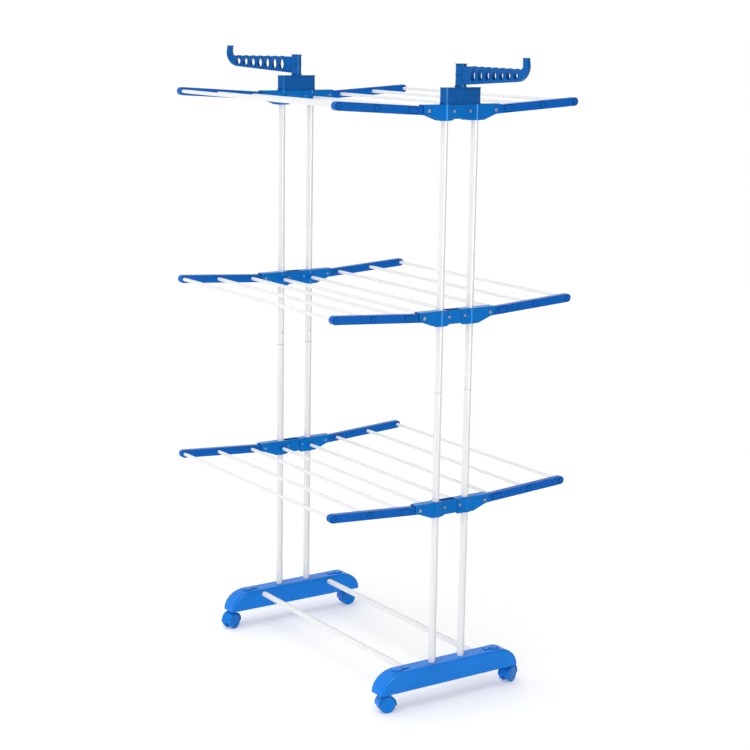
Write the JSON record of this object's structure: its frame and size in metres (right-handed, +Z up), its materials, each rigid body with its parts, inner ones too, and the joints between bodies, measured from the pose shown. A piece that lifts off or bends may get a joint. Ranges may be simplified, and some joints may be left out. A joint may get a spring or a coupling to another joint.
{
  "type": "clothes drying rack",
  "caption": "Tall rolling clothes drying rack: tiers of rods with fold-down wings between end frames on castors, and a swivelling slotted hanger arm above each frame.",
  "frame": {"origin": "on the floor, under the middle of the rack", "axes": "+X along the drying rods, +Y across the rack along the wing arms, +Z up"},
  "size_m": [1.1906, 0.755, 1.676],
  "materials": {
    "base_plastic": "moulded, satin gloss",
    "bracket_plastic": "moulded, satin gloss",
    "arm_plastic": "moulded, satin gloss",
    "hanger_plastic": "moulded, satin gloss",
    "castor_plastic": "moulded, satin gloss",
    "white_tube": "white powder coat, gloss",
    "bare_steel": "zinc plated",
    "screw_steel": "bright zinc"
  },
  "bodies": {
    "frame": {"base_beam_left": "base_plastic", "base_beam_right": "base_plastic", "base_tubes": "white_tube", "base_screws": "screw_steel", "lower_uprights_left": "white_tube", "lower_uprights_right": "white_tube", "upper_uprights_left": "white_tube", "upper_uprights_right": "white_tube", "upright_joiners": "bare_steel", "bracket_low_left": "bracket_plastic", "bracket_low_right": "bracket_plastic", "bracket_ends_low": "bracket_plastic", "fixed_rods_low": "white_tube", "bracket_mid_left": "bracket_plastic", "bracket_mid_right": "bracket_plastic", "bracket_ends_mid": "bracket_plastic", "fixed_rods_mid": "white_tube", "bracket_top_left": "bracket_plastic", "bracket_top_right": "bracket_plastic", "bracket_ends_top": "bracket_plastic", "fixed_rods_top": "white_tube", "pivot_screws": "screw_steel", "clamp_screws": "screw_steel", "top_block_left": "hanger_plastic", "top_block_right": "hanger_plastic", "hanger_pins": "hanger_plastic", "castor_stems": "bare_steel"},
    "wing_low_front": {"wing_arm_low_front_left": "arm_plastic", "wing_arm_low_front_right": "arm_plastic", "wing_rods_low_front": "white_tube"},
    "wing_low_back": {"wing_arm_low_back_left": "arm_plastic", "wing_arm_low_back_right": "arm_plastic", "wing_rods_low_back": "white_tube"},
    "wing_mid_front": {"wing_arm_mid_front_left": "arm_plastic", "wing_arm_mid_front_right": "arm_plastic", "wing_rods_mid_front": "white_tube"},
    "wing_mid_back": {"wing_arm_mid_back_left": "arm_plastic", "wing_arm_mid_back_right": "arm_plastic", "wing_rods_mid_back": "white_tube"},
    "wing_top_front": {"wing_arm_top_front_left": "arm_plastic", "wing_arm_top_front_right": "arm_plastic", "wing_rods_top_front": "white_tube"},
    "wing_top_back": {"wing_arm_top_back_left": "arm_plastic", "wing_arm_top_back_right": "arm_plastic", "wing_rods_top_back": "white_tube"},
    "hanger_left": {"hanger_arm_left": "hanger_plastic"},
    "hanger_right": {"hanger_arm_right": "hanger_plastic"},
    "castor_left_front": {"castor_hood_left_front": "castor_plastic"},
    "wheels_left_front": {"castor_axle_left_front": "bare_steel", "castor_wheels_left_front": "castor_plastic"},
    "castor_left_back": {"castor_hood_left_back": "castor_plastic"},
    "wheels_left_back": {"castor_axle_left_back": "bare_steel", "castor_wheels_left_back": "castor_plastic"},
    "castor_right_front": {"castor_hood_right_front": "castor_plastic"},
    "wheels_right_front": {"castor_axle_right_front": "bare_steel", "castor_wheels_right_front": "castor_plastic"},
    "castor_right_back": {"castor_hood_right_back": "castor_plastic"},
    "wheels_right_back": {"castor_axle_right_back": "bare_steel", "castor_wheels_right_back": "castor_plastic"}
  },
  "joints": [
    {"name": "fold_low_front", "type": "hinge", "parent": "frame", "child": "wing_low_front", "pos_m": [0, -0.104, 0.5278], "axis": [1, 0, 0], "range_deg": [0, 93.5]},
    {"name": "fold_low_back", "type": "hinge", "parent": "frame", "child": "wing_low_back", "pos_m": [0, 0.104, 0.5278], "axis": [-1, 0, 0], "range_deg": [0, 93.5]},
    {"name": "fold_mid_front", "type": "hinge", "parent": "frame", "child": "wing_mid_front", "pos_m": [0, -0.104, 1.0268], "axis": [1, 0, 0], "range_deg": [0, 93.5]},
    {"name": "fold_mid_back", "type": "hinge", "parent": "frame", "child": "wing_mid_back", "pos_m": [0, 0.104, 1.0268], "axis": [-1, 0, 0], "range_deg": [0, 93.5]},
    {"name": "fold_top_front", "type": "hinge", "parent": "frame", "child": "wing_top_front", "pos_m": [0, -0.104, 1.5418], "axis": [1, 0, 0], "range_deg": [0, 93.5]},
    {"name": "fold_top_back", "type": "hinge", "parent": "frame", "child": "wing_top_back", "pos_m": [0, 0.104, 1.5418], "axis": [-1, 0, 0], "range_deg": [0, 93.5]},
    {"name": "hanger_left_swivel", "type": "hinge", "parent": "frame", "child": "hanger_left", "pos_m": [-0.385, 0, 1.628], "axis": [0, 0, 1], "continuous": true},
    {"name": "hanger_right_swivel", "type": "hinge", "parent": "frame", "child": "hanger_right", "pos_m": [0.385, 0, 1.628], "axis": [0, 0, 1], "continuous": true},
    {"name": "castor_left_front_swivel", "type": "hinge", "parent": "frame", "child": "castor_left_front", "pos_m": [-0.385, -0.204, 0.05], "axis": [0, 0, 1], "continuous": true},
    {"name": "wheels_left_front_roll", "type": "hinge", "parent": "castor_left_front", "child": "wheels_left_front", "pos_m": [-0.38125, -0.21327, 0.0225], "axis": [-0.9272, -0.3746, 0], "continuous": true},
    {"name": "castor_left_back_swivel", "type": "hinge", "parent": "frame", "child": "castor_left_back", "pos_m": [-0.385, 0.204, 0.05], "axis": [0, 0, 1], "continuous": true},
    {"name": "wheels_left_back_roll", "type": "hinge", "parent": "castor_left_back", "child": "wheels_left_back", "pos_m": [-0.38587, 0.19404, 0.0225], "axis": [-0.9962, 0.0872, 0], "continuous": true},
    {"name": "castor_right_front_swivel", "type": "hinge", "parent": "frame", "child": "castor_right_front", "pos_m": [0.385, -0.204, 0.05], "axis": [0, 0, 1], "continuous": true},
    {"name": "wheels_right_front_roll", "type": "hinge", "parent": "castor_right_front", "child": "wheels_right_front", "pos_m": [0.38742, -0.1943, 0.0225], "axis": [0.9703, -0.2419, 0], "continuous": true},
    {"name": "castor_right_back_swivel", "type": "hinge", "parent": "frame", "child": "castor_right_back", "pos_m": [0.385, 0.204, 0.05], "axis": [0, 0, 1], "continuous": true},
    {"name": "wheels_right_back_roll", "type": "hinge", "parent": "castor_right_back", "child": "wheels_right_back", "pos_m": [0.38125, 0.21327, 0.0225], "axis": [0.9272, 0.3746, 0], "continuous": true}
  ]
}
